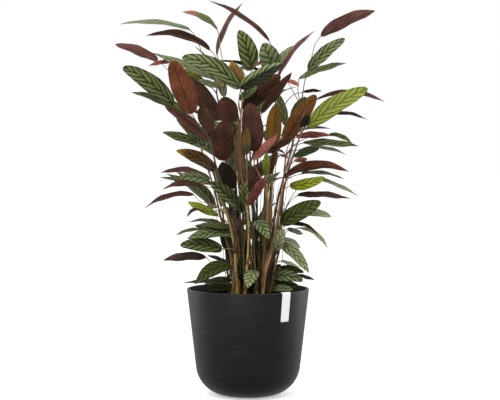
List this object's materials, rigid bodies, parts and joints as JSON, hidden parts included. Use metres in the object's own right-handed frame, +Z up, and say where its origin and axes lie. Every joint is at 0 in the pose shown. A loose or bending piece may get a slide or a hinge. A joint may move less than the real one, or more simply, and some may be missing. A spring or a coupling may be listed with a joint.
{
  "type": "potted calathea",
  "caption": "Tall leafy houseplant with waved, striped blades on thin canes, standing in soil in a round tapered tub with a plain tag over its rim.",
  "frame": {"origin": "centre of the pot's flat foot, on the surface that it stands on", "axes": "+Z up, -Y towards the viewer of the picture, +X to the right as the picture shows it"},
  "size_m": [0.7625, 0.6196, 1.1266],
  "materials": {
    "pot": "matte",
    "soil": "matte",
    "tag": "matte",
    "foliage": "satin"
  },
  "bodies": {
    "root": {"pot": "pot", "soil": "soil", "tag": "tag", "stem_left_orange": "foliage", "stem_left_front": "foliage", "stem_left_low": "foliage", "stem_left_fan": "foliage", "stem_left_rim": "foliage", "stem_left_upper": "foliage", "stem_left_back": "foliage", "stem_upper_left": "foliage", "stem_top_left": "foliage", "stem_top_middle": "foliage", "stem_top_right": "foliage", "stem_front_drooping": "foliage", "stem_middle_dark": "foliage", "stem_middle_front": "foliage", "stem_middle_hanging": "foliage", "stem_middle_left": "foliage", "stem_middle_pink": "foliage", "stem_middle_tall": "foliage", "stem_golden": "foliage", "stem_right_fan": "foliage", "stem_right_low": "foliage", "stem_right_orange": "foliage", "stem_right_pink": "foliage", "stem_right_golden": "foliage", "stem_right_upper": "foliage", "stem_right_front": "foliage", "stem_right_thin": "foliage", "stem_right_middle": "foliage", "stem_hidden_1": "foliage", "stem_hidden_2": "foliage", "stem_hidden_3": "foliage", "stem_hidden_4": "foliage", "stem_hidden_5": "foliage", "stem_hidden_6": "foliage", "stem_hidden_7": "foliage", "stem_shoot_1": "foliage", "stem_shoot_2": "foliage"}
  },
  "joints": []
}
